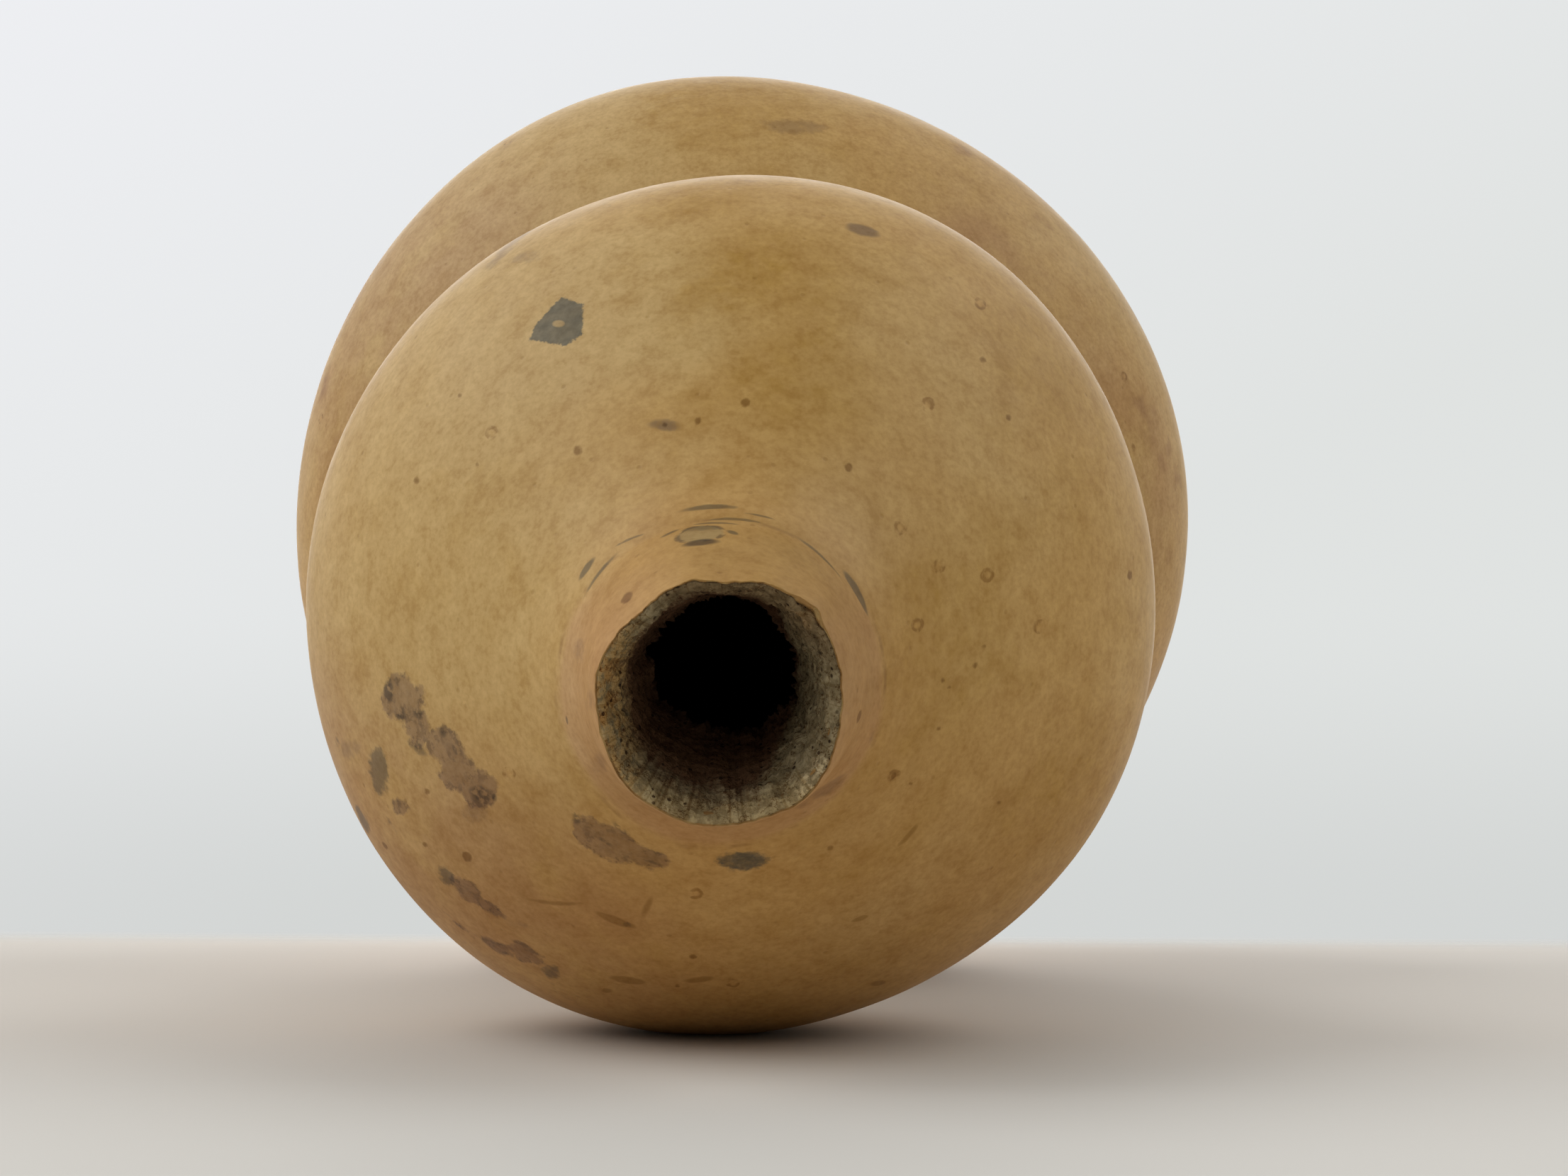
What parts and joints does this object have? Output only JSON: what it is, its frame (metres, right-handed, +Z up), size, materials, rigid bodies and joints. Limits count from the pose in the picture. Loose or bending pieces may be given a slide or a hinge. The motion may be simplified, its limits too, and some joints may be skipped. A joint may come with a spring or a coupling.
{
  "type": "dried bottle gourd",
  "caption": "Dried, hollow bottle gourd with two round bulbs, a narrow waist and a cut-off neck open at the mouth, lying on its side.",
  "frame": {"origin": "on the surface that the gourd lies on, below the middle of its box", "axes": "+Z up, +Y along the gourd from the cut mouth to the base, +X to the right seen from the mouth"},
  "size_m": [0.1202, 0.1958, 0.1188],
  "materials": {
    "dried_shell": "satin, mottled tan skin of a dried fruit"
  },
  "bodies": {
    "root": {"gourd_shell": "dried_shell"}
  },
  "joints": []
}
